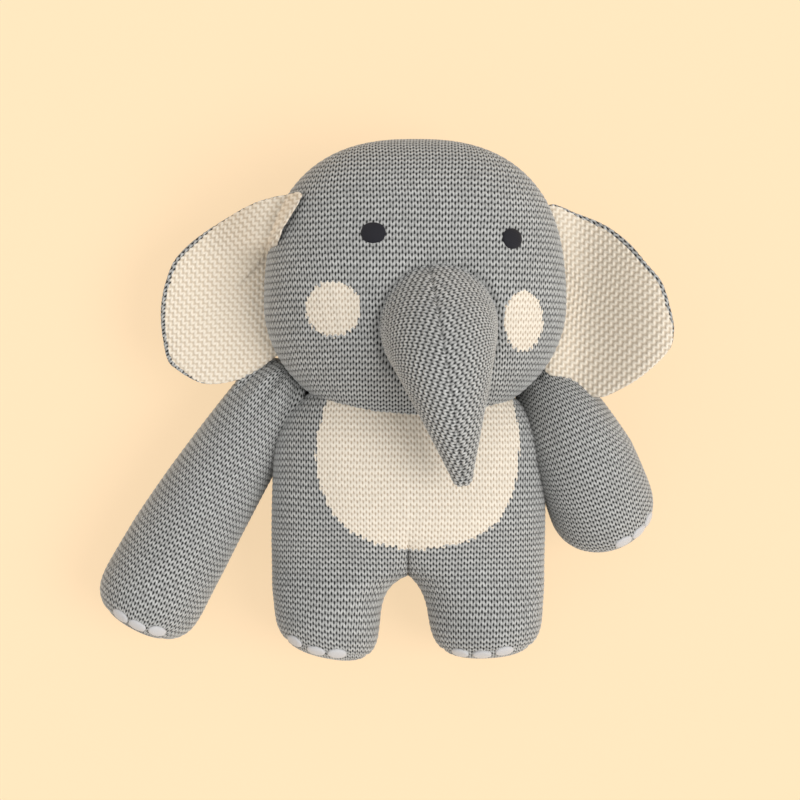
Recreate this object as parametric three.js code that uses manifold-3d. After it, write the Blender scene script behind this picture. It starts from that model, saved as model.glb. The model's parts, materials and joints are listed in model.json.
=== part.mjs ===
// Stuffed knitted elephant, lying on its back on a flat surface.
//
// Frame: millimetres. +Z points up out of the resting surface, towards the elephant's front,
// +Y points from its feet to its crown, and +X points to its own left hand side.
// The origin is on the resting face of the torso, below the middle of its chest.
//
// Every stuffed form is a knitted cover round a filling. Each form is written once, as a
// function of how far it is inset from the outer surface, so that the cover is the form less
// the same form inset, and the filling is the form inset a little more.
import * as THREE from 'three';
import { mergeVertices } from 'three/addons/utils/BufferGeometryUtils.js';
import Module from 'manifold-3d';

const wasm = await Module();
wasm.setup();

// ---------------------------------------------------------------- driving dimensions

const KNIT = 3;            // thickness of the knitted cover
const GAP = 0.3;           // clearance between pieces that touch
const FINEST = 0.12;       // smaller steps than this in a cut surface are smoothed away
const FILL = KNIT + 0.8;   // inset of a filling under its cover
const DETAIL = 20;         // facets round the head and the torso
const LIMB_DETAIL = 12;    // facets round an arm, a leg or the trunk

// Head: a rounded dome, a little squarer than an ellipsoid, flattened where it lies.
const HEAD = {
  centre: [4.7, 65, 66],
  x: [101, 101], y: [77, 111], z: [70, 68],
  power: 2.5,
};
const HEAD_SEAM_Z = 60;    // height of the seam between the front and back of the head

// Torso: a stuffed bag, widest at the hips.
const TORSO = {
  centre: [0, -50, 50],
  x: [91, 91], y: [68, 66], z: [68, 50],
  power: 2.9,
};
const TORSO_SEAM_Z = 50;   // height of the torso's side seam

// Face. The face looks a little to the elephant's left, so its features stand nearer to that
// side of the head. Each is placed by where it is across and up the head.
const EYES = {
  right: [-23.8, 105.4], left: [66.2, 103.6],
  half: [7.8, 6.3], rise: 1.3,
};
const CHEEKS = {
  right: { centre: [-48.7, 58.5], half: [17.5, 17.5] },
  left: { centre: [74, 51.2], half: [13.1, 19.2] },
};

// Trunk: a bent cone that stands out of the face and points back down to the feet.
const TRUNK = {
  root: [22, 50, 108], bend: [27, 26, 170], tip: [35, -46, 131],
  rootRadius: 37, tipRadius: 8.5, endDepth: 8.5,
};

// Belly patch: lower edge a half ellipse, sides running up to below the chin.
const BELLY = { centre: [1, -46], half: [63, 54], topY: 6 };

// Ears: flat padded leaves sewn into the side seams of the head.
// A leaf's outline is given by its reach from a centre in eight directions, turning
// anticlockwise from +X; rise is the height of its outer rim over its seam.
const EAR_THICKNESS = 9;
const EAR_WADDING = 3.4;
const EARS = {
  right: {
    centre: [-124, 74], hingeX: -97, seamZ: 52, rise: -6, cup: -7,
    reach: [31, 47, 51, 49, 42.5, 52, 57, 48],
  },
  left: {
    centre: [136, 64], hingeX: 108, seamZ: 62, rise: 30, cup: 12,
    reach: [42, 47, 54, 55, 28, 47, 59, 54],
  },
};

// Arms: sleeves that widen from the shoulder to the foot pad. The right arm lies stretched
// out; the left arm is folded over, so it is short and humped.
const ARMS = {
  right: {
    root: [-93, 0, 46], bend: [-130, -67, 41], tip: [-166, -132, 35],
    rootRadius: 24, tipRadius: 35, endDepth: 32, nailTurns: [-48, -13, 20],
  },
  left: {
    root: [94, 10, 42], bend: [111, -26, 76], tip: [129, -69, 41],
    rootRadius: 23, tipRadius: 34, endDepth: 30, nailTurns: [0, 36, 72],
  },
};

// Legs: short stout tubes with flat soles.
const LEGS = {
  right: {
    root: [-51, -100, 38], bend: [-49, -128, 38], tip: [-54, -150, 37],
    rootRadius: 40, tipRadius: 38, endDepth: 31, nailTurns: [-38, -10, 18],
  },
  left: {
    root: [49.5, -100, 38], bend: [50, -126, 38], tip: [53, -150, 38],
    rootRadius: 41, tipRadius: 39.5, endDepth: 31, nailTurns: [-26, 4, 34],
  },
};

const END_POWER = 2.8;     // how square the foot end of a limb is
const SOLE_RIM = 4.5;      // how far a sole wraps up its sleeve
const NAIL = { across: 6.6, along: 5.2, proud: 1.2 };  // a toenail's half sizes

// Joint positions, and the angles in degrees that the clearances between moving forms are cut at.
const NECK = { position: [4.7, 10, 62], low: -15, high: 4 };
const HIP_LIFTS = [0, 12, 24, 35];
const SHOULDER_LIFTS = { right: [0, 7.5, 15, 22.5, 30, 37.5, 45], left: [0, 3.5, 7] };
const TRUNK_LIFTS = [-4, 0, 8, 15, 22, 30];
const EAR_FLAPS = { right: [-10, 0, 20, 40], left: [0, 10, 20, 30] };
const SOCKET_GAP = 1.5;    // clearance round the ball at the root of a limb

// ---------------------------------------------------------------- colours

const GREY = 0x8f918e;
const CREAM = 0xe9dcc6;
const NAVY = 0x26272e;
const SATIN = 0xdcdcda;
const WHITE = 0xf4f2ec;

// ---------------------------------------------------------------- solids

/** A closed three.js geometry as a manifold solid. */
function solid(geometry) {
  const bare = geometry.index ? geometry.toNonIndexed() : geometry.clone();
  bare.deleteAttribute('normal');
  bare.deleteAttribute('uv');
  const merged = mergeVertices(bare, 1e-4);
  const corners = Array.from(merged.index.array);
  const triangles = [];
  for (let i = 0; i < corners.length; i += 3) {
    const [a, b, c] = corners.slice(i, i + 3);
    if (a !== b && b !== c && c !== a) {
      triangles.push(a, b, c);
    }
  }
  return new wasm.Manifold(new wasm.Mesh({
    numProp: 3,
    vertProperties: new Float32Array(merged.attributes.position.array),
    triVerts: new Uint32Array(triangles),
  }));
}

/** A manifold solid as a three.js geometry. */
function geometryOf(made) {
  const mesh = made.getMesh();
  const geometry = new THREE.BufferGeometry();
  geometry.setAttribute('position', new THREE.BufferAttribute(mesh.vertProperties, 3));
  geometry.setIndex(new THREE.BufferAttribute(mesh.triVerts, 1));
  geometry.computeVertexNormals();
  return geometry;
}

/** Moves every vertex of a geometry by a function of its position. */
function reshape(geometry, move) {
  const position = geometry.attributes.position;
  const point = new THREE.Vector3();
  for (let i = 0; i < position.count; i += 1) {
    point.fromBufferAttribute(position, i);
    move(point);
    position.setXYZ(i, point.x, point.y, point.z);
  }
  return geometry;
}

/** A box between two corners. */
function block(low, high) {
  const size = high.map((value, i) => value - low[i]);
  const geometry = new THREE.BoxGeometry(...size);
  geometry.translate(...low.map((value, i) => value + size[i] / 2));
  return solid(geometry);
}

const FAR = 400;
const above = (z) => block([-FAR, -FAR, z], [FAR, FAR, FAR]);
const below = (z) => block([-FAR, -FAR, -FAR], [FAR, FAR, z]);

/** The half space on the side of a point that a direction points to. */
function beyond(point, direction) {
  const geometry = new THREE.BoxGeometry(FAR, FAR, FAR);
  geometry.translate(0, 0, FAR / 2);
  const turn = new THREE.Quaternion().setFromUnitVectors(
    new THREE.Vector3(0, 0, 1), direction.clone().normalize());
  geometry.applyQuaternion(turn);
  geometry.translate(point.x, point.y, point.z);
  return solid(geometry);
}

/** A solid turned about an axis through a point. */
function turned(made, position, axis, degrees) {
  const there = new THREE.Matrix4().makeTranslation(...position);
  const back = new THREE.Matrix4().makeTranslation(...position.map((value) => -value));
  const turn = new THREE.Matrix4().makeRotationAxis(
    axis.clone().normalize(), THREE.MathUtils.degToRad(degrees));
  return made.transform(there.multiply(turn).multiply(back).elements);
}

/** The room that a solid takes at each of some angles about an axis. */
function roomAt(made, position, axis, angles) {
  const places = angles.map((angle) => turned(made, position, axis, angle));
  return places.reduce((room, place) => room.add(place));
}

// ---------------------------------------------------------------- stuffed forms

/** A squared ellipsoid with its own radius on each side, cut flat where it lies. */
function bun(form, inset) {
  const geometry = new THREE.SphereGeometry(1, DETAIL, Math.round(DETAIL * 0.6));
  const radii = [form.x, form.y, form.z];
  reshape(geometry, (point) => {
    const unit = point.toArray();
    const size = unit.reduce((sum, part) => sum + Math.abs(part) ** form.power, 0);
    const stretch = size ** (-1 / form.power);
    const placed = unit.map((part, axis) => {
      const radius = radii[axis][part < 0 ? 0 : 1] - inset;
      return form.centre[axis] + part * stretch * radius;
    });
    point.fromArray(placed);
  });
  return solid(geometry).intersect(above(Math.max(inset, 0)));
}

/** The centre line of a limb. */
function centreLine(limb) {
  return new THREE.QuadraticBezierCurve3(
    new THREE.Vector3(...limb.root),
    new THREE.Vector3(...limb.bend),
    new THREE.Vector3(...limb.tip));
}

/** A direction along a limb, one across it in the resting plane and one out of its top. */
function limbAxes(limb, along) {
  const ahead = centreLine(limb).getTangent(along);
  const across = new THREE.Vector3(0, 0, 1).cross(ahead).normalize();
  const up = new THREE.Vector3().crossVectors(ahead, across);
  return { ahead, across, up };
}

/** How far a unit half profile is stretched to make a squarer end. */
function endStretch(past, round) {
  return (past ** END_POWER + round ** END_POWER) ** (-1 / END_POWER);
}

/** A sleeve with a ball at its root and a squarer end, along a limb's centre line. */
function sleeveForm(limb, inset) {
  const length = 3;
  const geometry = new THREE.CapsuleGeometry(1, length, 4, LIMB_DETAIL, 3);
  const line = centreLine(limb);
  reshape(geometry, (point) => {
    const along = THREE.MathUtils.clamp(0.5 - point.y / length, 0, 1);
    const { ahead, across, up } = limbAxes(limb, along);
    const radius = THREE.MathUtils.lerp(limb.rootRadius, limb.tipRadius, along) - inset;
    const past = Math.max(0, Math.abs(point.y) - length / 2);
    const isEnd = point.y < 0 && past > 0;
    const stretch = isEnd ? endStretch(past, Math.hypot(point.x, point.z)) : 1;
    const reach = isEnd ? limb.endDepth - inset : inset - limb.rootRadius;
    const { x, z } = point;
    line.getPoint(along, point);
    point.addScaledVector(across, x * radius * stretch);
    point.addScaledVector(up, z * radius * stretch);
    point.addScaledVector(ahead, past * reach * stretch);
  });
  return solid(geometry);
}

/** A sleeve that lies on the resting surface. */
const lying = (limb, inset) => sleeveForm(limb, inset).intersect(above(Math.max(inset, 0)));

/** The smooth outline through a leaf's reaches. */
function earReach(ear, angle) {
  const count = ear.reach.length;
  const place = ((angle / (2 * Math.PI)) * count + count) % count;
  const first = Math.floor(place);
  const [before, from, to, after] = [-1, 0, 1, 2].map((k) => ear.reach[(first + k + count) % count]);
  const t = place - first;
  const bend = 2 * before - 5 * from + 4 * to - after;
  const twist = -before + 3 * from - 3 * to + after;
  return from + 0.5 * t * ((to - before) + t * (bend + t * twist));
}

/** Height of an ear's middle surface over a point of its plan. */
function earHeight(ear, x, y) {
  const out = (x - ear.hingeX) / (ear.centre[0] - ear.hingeX) / 2;
  const side = (y - ear.centre[1]) / 60;
  return ear.seamZ + ear.rise * out + ear.cup * (side * side + (out - 0.5) ** 2);
}

/** One layer of an ear, between two heights from its middle surface; both close at the rim. */
function earLayer(ear, low, high, shrink) {
  const geometry = new THREE.SphereGeometry(1, 18, 6);
  geometry.rotateX(Math.PI / 2);
  reshape(geometry, (point) => {
    const out = Math.min(1, Math.hypot(point.x, point.y));
    const angle = Math.atan2(point.y, point.x);
    const reach = (earReach(ear, angle) - shrink) * out;
    const x = ear.centre[0] + Math.cos(angle) * reach;
    const y = ear.centre[1] + Math.sin(angle) * reach;
    const swell = Math.sqrt(Math.max(0, 1 - out ** 4));
    const rim = (low + high) / 2;
    const height = rim + ((point.z < 0 ? low : high) - rim) * swell;
    point.set(x, y, earHeight(ear, x, y) + height);
  });
  return solid(geometry);
}

// ---------------------------------------------------------------- clearances

const headForm = (inset) => bun(HEAD, inset);
const trunkForm = (inset) => sleeveForm(TRUNK, inset);
const liftAxis = (limb) => limbAxes(limb, 0).across.negate();

/** The room that the head and one ear take as the head turns. */
function headRooms(ear) {
  const half = EAR_THICKNESS / 2 + 2 * GAP;
  const parts = [headForm(-2 * GAP)];
  if (ear) {
    parts.push(earLayer(ear, -half, half, -1));
  }
  return parts.map((part) => roomAt(
    part, NECK.position, new THREE.Vector3(0, 1, 0), [NECK.low, 0, NECK.high]));
}

const lessAll = (made, rooms) => rooms.reduce((form, room) => form.subtract(room), made);

/** The torso gives way to the head and to the round root of every limb, through their travel. */
const torsoRooms = headRooms();
for (const side of ['right', 'left']) {
  const travels = [[LEGS[side], HIP_LIFTS], [ARMS[side], SHOULDER_LIFTS[side]]];
  for (const [limb, lifts] of travels) {
    const socket = new THREE.SphereGeometry(limb.rootRadius + SOCKET_GAP, 14, 8);
    socket.translate(...limb.root);
    torsoRooms.push(solid(socket));
    torsoRooms.push(...lifts.map((lift) => turned(
      sleeveForm(limb, -2 * GAP), limb.root, liftAxis(limb), lift)));
  }
}

/** A piece of an ear turned about the ear's hinge. */
function flapped(made, side, degrees) {
  const ear = EARS[side];
  const hinge = [ear.hingeX, ear.centre[1], ear.seamZ];
  const axis = new THREE.Vector3(0, side === 'right' ? 1 : -1, 0);
  return turned(made, hinge, axis, degrees);
}

/** The room of a raised ear when the head is turned towards it. */
function raisedEar(side) {
  const half = EAR_THICKNESS / 2 + 2 * GAP;
  const raised = flapped(earLayer(EARS[side], -half, half, -1), side, EAR_FLAPS[side].at(-1));
  return turned(raised, NECK.position, new THREE.Vector3(0, 1, 0), NECK.high);
}

/** An arm gives way to the head and to the ear over it, at rest and when it is lifted. */
function armRooms(side) {
  const rooms = headRooms(EARS[side]);
  const limb = ARMS[side];
  if (side === 'right') {
    return rooms;
  }
  const lift = SHOULDER_LIFTS[side].at(-1);
  const lifted = [...rooms, raisedEar(side)].map((room) => turned(
    room, limb.root, liftAxis(limb), -lift));
  return [...rooms, ...lifted];
}

/** The head gives way to the trunk through the trunk's travel. */
const trunkRooms = TRUNK_LIFTS.map((lift) => turned(
  trunkForm(-3 * GAP), TRUNK.root, new THREE.Vector3(-1, 0, 0), lift));

/** An ear gives way to the head through the ear's travel. */
function earRooms(side) {
  return EAR_FLAPS[side].map((flap) => flapped(headForm(-2 * GAP), side, -flap));
}

// ---------------------------------------------------------------- pieces

const elephant = new THREE.Group();

function cloth(color) {
  return new THREE.MeshStandardMaterial({ color, roughness: 0.95, metalness: 0 });
}

/** The largest closed body of a solid, without the slivers and specks that a cut leaves. */
function mainBody(made) {
  const bodies = made.simplify(FINEST).decompose();
  bodies.sort((a, b) => b.volume() - a.volume());
  return bodies[0];
}

function addPiece(name, made, color) {
  const mesh = new THREE.Mesh(geometryOf(mainBody(made)), cloth(color));
  mesh.name = name;
  elephant.add(mesh);
}

/** An upright prism over an ellipse. */
function ovalPrism(centre, half) {
  const outline = new THREE.Shape();
  outline.absellipse(centre[0], centre[1], half[0], half[1], 0, 2 * Math.PI);
  const geometry = new THREE.ExtrudeGeometry(outline, {
    depth: FAR, bevelEnabled: false, curveSegments: 20,
  });
  return solid(geometry);
}

/** The place on the front of the head over a place across it and up it. */
function onHead(x, y) {
  const across = Math.abs(x - HEAD.centre[0]) / HEAD.x[x < HEAD.centre[0] ? 0 : 1];
  const up = Math.abs(y - HEAD.centre[1]) / HEAD.y[y < HEAD.centre[1] ? 0 : 1];
  const rise = (1 - across ** HEAD.power - up ** HEAD.power) ** (1 / HEAD.power);
  return new THREE.Vector3(x, y, HEAD.centre[2] + HEAD.z[1] * rise);
}

/** A low oval pad on a form's surface. */
function pad(place, axes, half, under) {
  const geometry = new THREE.SphereGeometry(1, 8, 4);
  const basis = new THREE.Matrix4().makeBasis(...axes);
  geometry.scale(...half);
  geometry.applyMatrix4(basis);
  geometry.translate(place.x, place.y, place.z);
  return solid(geometry).subtract(under);
}

// Head: front and back panels round a filling, with cheeks knitted into the front.
const headCover = lessAll(headForm(0).subtract(headForm(KNIT)), trunkRooms);
let headFront = headCover.intersect(above(HEAD_SEAM_Z));
for (const side of ['right', 'left']) {
  const { centre, half } = CHEEKS[side];
  const hole = ovalPrism(centre, half.map((value) => value + GAP));
  addPiece(`cheek_patch_${side}`, headFront.intersect(ovalPrism(centre, half)), CREAM);
  headFront = headFront.subtract(hole);
}
addPiece('head_front', headFront, GREY);
addPiece('head_back', headCover.intersect(below(HEAD_SEAM_Z - GAP)), GREY);
addPiece('head_stuffing', lessAll(headForm(FILL), trunkRooms), WHITE);

for (const side of ['right', 'left']) {
  const place = onHead(...EYES[side]);
  const out = place.clone().sub(new THREE.Vector3(...HEAD.centre)).normalize();
  const across = new THREE.Vector3(0, 1, 0).cross(out).normalize();
  const up = new THREE.Vector3().crossVectors(out, across);
  const half = [...EYES.half, 2 * EYES.rise];
  addPiece(`eye_${side}`, pad(place, [across, up, out], half, headForm(-GAP)), NAVY);
}

// Trunk: two mirrored panels sewn along the middle, round a filling.
const trunkAxes = limbAxes(TRUNK, 0);
const trunkOpening = beyond(
  new THREE.Vector3(...TRUNK.root).addScaledVector(trunkAxes.ahead, TRUNK.rootRadius * 0.25),
  trunkAxes.ahead);
const trunkCover = trunkForm(0).subtract(trunkForm(KNIT)).intersect(trunkOpening);
const trunkMiddle = new THREE.Vector3(...TRUNK.bend);
for (const [name, sign] of [['trunk_left', 1], ['trunk_right', -1]]) {
  const across = trunkAxes.across.clone().multiplyScalar(-sign);
  const half = beyond(trunkMiddle.clone().addScaledVector(across, GAP / 2), across);
  addPiece(name, trunkCover.intersect(half), GREY);
}
addPiece('trunk_stuffing', trunkForm(FILL), WHITE);

// Torso: front and back panels round a filling, with the belly knitted into the front.
const torsoCover = lessAll(bun(TORSO, 0).subtract(bun(TORSO, KNIT)), torsoRooms);
const bellyOutline = (grow) => {
  const [x, y] = BELLY.centre;
  const outline = new THREE.Shape();
  outline.absellipse(x, y, BELLY.half[0] + grow, BELLY.half[1] + grow, Math.PI, 2 * Math.PI);
  outline.lineTo(x + BELLY.half[0] + grow, BELLY.topY + grow);
  outline.lineTo(x - BELLY.half[0] - grow, BELLY.topY + grow);
  outline.closePath();
  return solid(new THREE.ExtrudeGeometry(outline, {
    depth: FAR, bevelEnabled: false, curveSegments: 16,
  }));
};
const torsoFront = torsoCover.intersect(above(TORSO_SEAM_Z));
addPiece('torso_front', torsoFront.subtract(bellyOutline(GAP)), GREY);
addPiece('belly_patch', torsoFront.intersect(bellyOutline(0)), CREAM);
addPiece('torso_back', torsoCover.intersect(below(TORSO_SEAM_Z - GAP)), GREY);
addPiece('torso_stuffing', lessAll(bun(TORSO, FILL), torsoRooms), WHITE);

// Ears: a cream front, a grey back and thin wadding between them.
for (const side of ['right', 'left']) {
  const ear = EARS[side];
  const rooms = earRooms(side);
  const half = EAR_THICKNESS / 2;
  const layers = [
    ['front', EAR_WADDING / 2 + GAP, half, 0, CREAM],
    ['wadding', -EAR_WADDING / 2, EAR_WADDING / 2, 4, WHITE],
    ['back', -half, -EAR_WADDING / 2 - GAP, 0, GREY],
  ];
  for (const [layer, low, high, shrink, color] of layers) {
    addPiece(`ear_${side}_${layer}`, lessAll(earLayer(ear, low, high, shrink), rooms), color);
  }
}

// Limbs: a sleeve and a sole round a filling, with toenails over the edge of the sole.
function addLimb(name, limb, rooms) {
  const { ahead } = limbAxes(limb, 0);
  const end = limbAxes(limb, 1);
  const root = new THREE.Vector3(...limb.root);
  const cover = lessAll(lying(limb, 0).subtract(lying(limb, KNIT)), rooms)
    .intersect(beyond(root, ahead));
  const rim = new THREE.Vector3(...limb.tip).addScaledVector(end.ahead, limb.endDepth - SOLE_RIM);
  addPiece(`${name}_sleeve`, cover.subtract(beyond(rim, end.ahead)), GREY);
  const seam = rim.clone().addScaledVector(end.ahead, GAP);
  addPiece(`${name}_sole`, cover.intersect(beyond(seam, end.ahead)), GREY);
  addPiece(`${name}_stuffing`, lessAll(lying(limb, FILL), rooms), WHITE);

  // The nails sit in a row on the rounded edge just above the sole.
  const edge = endStretch(Math.SQRT1_2, Math.SQRT1_2) * Math.SQRT1_2;
  limb.nailTurns.forEach((degrees, i) => {
    const angle = THREE.MathUtils.degToRad(degrees);
    const out = end.up.clone().multiplyScalar(Math.cos(angle))
      .addScaledVector(end.across, Math.sin(angle));
    const place = new THREE.Vector3(...limb.tip)
      .addScaledVector(end.ahead, limb.endDepth * edge)
      .addScaledVector(out, limb.tipRadius * edge);
    const normal = out.clone().multiplyScalar(limb.endDepth)
      .addScaledVector(end.ahead, limb.tipRadius).normalize();
    const across = new THREE.Vector3().crossVectors(end.ahead, normal).normalize();
    const along = new THREE.Vector3().crossVectors(normal, across);
    const half = [NAIL.across, NAIL.along, 2 * NAIL.proud];
    const nail = pad(place, [across, along, normal], half, sleeveForm(limb, -GAP));
    addPiece(`${name}_nail_${i + 1}`, nail, SATIN);
  });
}

for (const side of ['right', 'left']) {
  addLimb(`arm_${side}`, ARMS[side], armRooms(side));
  addLimb(`leg_${side}`, LEGS[side], []);
}

export default elephant;
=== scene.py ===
"""Looks of the stuffed knitted elephant, in metres, in the frame of its CAD model.

Every knitted cover is a grid of points that knows its place in the knitting: s counts
stitches along a row and t counts rows. The yarn is real relief, raised on the grid along its
normals, and the same s and t drive the colour of the yarn, a painted highlight on the tops of
its loops and a painted shade in the holes between stitches.
Lengths in this file are millimetres unless a name says otherwise; build() turns them to metres.
"""
import json
import math

import bpy
import numpy as np
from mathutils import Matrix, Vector


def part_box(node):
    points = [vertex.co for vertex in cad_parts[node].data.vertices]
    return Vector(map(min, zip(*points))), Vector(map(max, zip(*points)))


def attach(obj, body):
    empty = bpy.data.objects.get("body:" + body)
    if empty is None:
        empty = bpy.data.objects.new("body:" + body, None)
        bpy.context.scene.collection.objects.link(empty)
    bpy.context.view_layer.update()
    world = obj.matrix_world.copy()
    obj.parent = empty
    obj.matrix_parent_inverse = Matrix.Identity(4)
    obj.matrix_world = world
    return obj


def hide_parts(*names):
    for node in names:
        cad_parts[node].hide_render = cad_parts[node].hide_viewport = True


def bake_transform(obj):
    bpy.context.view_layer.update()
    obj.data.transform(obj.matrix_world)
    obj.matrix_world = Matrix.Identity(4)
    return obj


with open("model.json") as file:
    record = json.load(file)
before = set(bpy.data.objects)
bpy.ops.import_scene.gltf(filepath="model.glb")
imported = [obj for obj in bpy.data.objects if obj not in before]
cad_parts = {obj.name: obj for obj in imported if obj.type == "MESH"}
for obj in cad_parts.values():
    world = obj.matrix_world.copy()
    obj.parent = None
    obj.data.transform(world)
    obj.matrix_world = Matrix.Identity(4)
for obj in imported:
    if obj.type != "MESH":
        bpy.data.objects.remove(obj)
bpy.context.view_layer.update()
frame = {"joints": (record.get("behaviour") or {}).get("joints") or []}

MM = 0.001

# ---------------------------------------------------------------- driving sizes

STITCH = 4.0          # width of one stitch
ROW = 4.2             # height of one row
CELL = 0.8            # spacing of the points that carry the yarn relief
RELIEF = 1.25         # depth of the holes between stitches
YARN_WAVE = 0.19      # how far a row of yarn swings up and down, in rows
SLANT = 0.018         # how far a hole leans, in stitches
MEAN_HEIGHT = 0.72    # height of the relief that lies on the cover's own surface
CLOSED = 0.25         # share of a hole's depth that runs on between two holes of a row
EAR_CLOSED = 0.8      # the same for the ears, whose rows show as ridges
TRUNK_CLOSED = 0.5    # and for the trunk
FLOOR_GAP = 0.6       # the covers rest just clear of the floor

joints = {joint["name"]: joint for joint in frame["joints"]}
LIMB_JOINTS = {joint["child"]: joint["name"] for joint in frame["joints"]}


def joint_place(name):
    """A joint's position."""
    return np.array(joints[name]["pos_m"]) / MM


def node_box(*names):
    """Lowest and highest corner round some CAD nodes."""
    corners = [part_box(name) for name in names]
    low = np.min([np.array(low) for low, _ in corners], axis=0)
    high = np.max([np.array(high) for _, high in corners], axis=0)
    return low / MM, high / MM


# ---------------------------------------------------------------- small mathematics

def smoothstep(x, start=0.0, end=1.0):
    """0 at the start, 1 at the end, and an even S between them."""
    x = np.clip((np.asarray(x, float) - start) / (end - start), 0.0, 1.0)
    return x * x * (3.0 - 2.0 * x)


def soft_floor(z, softness=2.0):
    """Heights pressed flat where they would pass through the floor."""
    z = z - FLOOR_GAP
    return FLOOR_GAP + 0.5 * (z + np.sqrt(z * z + softness * softness))


def unit(vectors):
    """Vectors brought to length 1."""
    length = np.linalg.norm(vectors, axis=-1, keepdims=True)
    return vectors / np.maximum(length, 1e-9)


def arc_lengths(points, axis):
    """Running length along one axis of a grid of points."""
    steps = np.linalg.norm(np.diff(points, axis=axis), axis=-1)
    first = np.zeros_like(np.take(steps, [0], axis=axis))
    return np.concatenate([first, np.cumsum(steps, axis=axis)], axis=axis)


def resample(points, count):
    """Each row of a grid, respaced evenly along its length."""
    length = arc_lengths(points, 1)
    evenly = np.linspace(0.0, 1.0, count)
    out = np.empty((points.shape[0], count, 3))
    for i, row in enumerate(points):
        total = max(length[i, -1], 1e-9)
        for k in range(3):
            out[i, :, k] = np.interp(evenly * total, length[i], row[:, k])
    return out


def bezier(root, bend, tip, along):
    """Places on a curve from root to tip, and the way ahead at each."""
    along = np.asarray(along)[..., None]
    place = (1 - along) ** 2 * root + 2 * along * (1 - along) * bend + along ** 2 * tip
    ahead = unit(2 * (1 - along) * (bend - root) + 2 * along * (tip - bend))
    return place, ahead


def grid_normals(points, wrap=False):
    """Normals of a grid, square to its rows and columns; its first and last column meet if wrap."""
    if wrap:
        padded = np.concatenate([points[:, -2:-1], points, points[:, 1:2]], axis=1)
        along = np.gradient(padded, axis=1)[:, 1:-1]
    else:
        along = np.gradient(points, axis=1)
    down = np.gradient(points, axis=0)
    return unit(np.cross(along, down))


def facing(normals, outward):
    """Normals turned over wherever they point against a direction."""
    agree = np.sum(normals * outward, axis=-1, keepdims=True)
    return normals * np.where(agree < 0.0, -1.0, 1.0)


# ---------------------------------------------------------------- the knitting

def unevenness(points, s, t):
    """Stitches and rows of a place, drifting a little as hand guided knitting does."""
    x, y, z = (points[..., k] for k in range(3))
    drift_s = 0.10 * np.sin(x / 15.0 + y / 21.0) + 0.06 * np.sin(y / 7.0 - z / 9.0 + 1.0)
    drift_t = 0.09 * np.sin(x / 19.0 - y / 13.0 + 2.0) + 0.05 * np.sin(x / 6.5 + z / 11.0)
    return s + drift_s, t + drift_t


def knit_height(s, t, closed):
    """Height of the purl side of plain knitting: 1 on the yarn and 0 at the bottom of a hole."""
    row = t + YARN_WAVE * np.sin(2.0 * np.pi * s)
    slit = np.abs(np.sin(2.0 * np.pi * (s + SLANT * np.sin(2.0 * np.pi * row)))) ** 2.2
    trough = 1.0 - np.abs(np.cos(np.pi * row)) ** 1.8
    return 1.0 - trough * (closed + (1.0 - closed) * slit)


def knitted(points, normals, s, t, fade=None, depth=RELIEF, closed=CLOSED):
    """Points moved along their normals by the knitting's relief."""
    height = (knit_height(s, t, closed) - MEAN_HEIGHT) * depth
    if fade is not None:
        height = height * fade
    return points + normals * height[..., None]


def quads(rows, columns):
    """Corner numbers of every cell of a grid."""
    corner = np.arange(rows * columns).reshape(rows, columns)
    return np.stack([corner[:-1, :-1], corner[1:, :-1], corner[1:, 1:], corner[:-1, 1:]], axis=-1)


def build(name, parts, material, body, replaces=()):
    """One mesh from parts, each (points, s, t, faces); faces are rows of four corners."""
    points, coords, faces = [], [], []
    start = 0
    for part_points, s, t, part_faces in parts:
        flat = np.asarray(part_points).reshape(-1, 3)
        part_faces = np.asarray(part_faces).reshape(-1, 4)
        used, renumbered = np.unique(part_faces, return_inverse=True)
        points.append(flat[used])
        coords.append(np.stack([np.ravel(s)[used], np.ravel(t)[used]], axis=-1))
        faces.append(renumbered.reshape(-1, 4) + start)
        start += len(used)
    points = np.concatenate(points) * MM
    coords = np.concatenate(coords)
    faces = np.concatenate(faces)
    mesh = bpy.data.meshes.new(name)
    mesh.vertices.add(len(points))
    mesh.vertices.foreach_set("co", points.astype(np.float32).ravel())
    mesh.loops.add(faces.size)
    mesh.loops.foreach_set("vertex_index", faces.astype(np.int32).ravel())
    mesh.polygons.add(len(faces))
    mesh.polygons.foreach_set("loop_start", np.arange(0, faces.size, 4, dtype=np.int32))
    mesh.update(calc_edges=True)
    layer = mesh.uv_layers.new(name="knit")
    layer.data.foreach_set("uv", coords[faces.ravel()].astype(np.float32).ravel())
    mesh.polygons.foreach_set("use_smooth", np.ones(len(faces), bool))
    mesh.validate()
    mesh.materials.append(material)
    piece = bpy.data.objects.new(name, mesh)
    bpy.context.scene.collection.objects.link(piece)
    if body:
        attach(piece, body)
    if replaces:
        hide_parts(*replaces)
    return piece


# ---------------------------------------------------------------- materials

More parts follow.
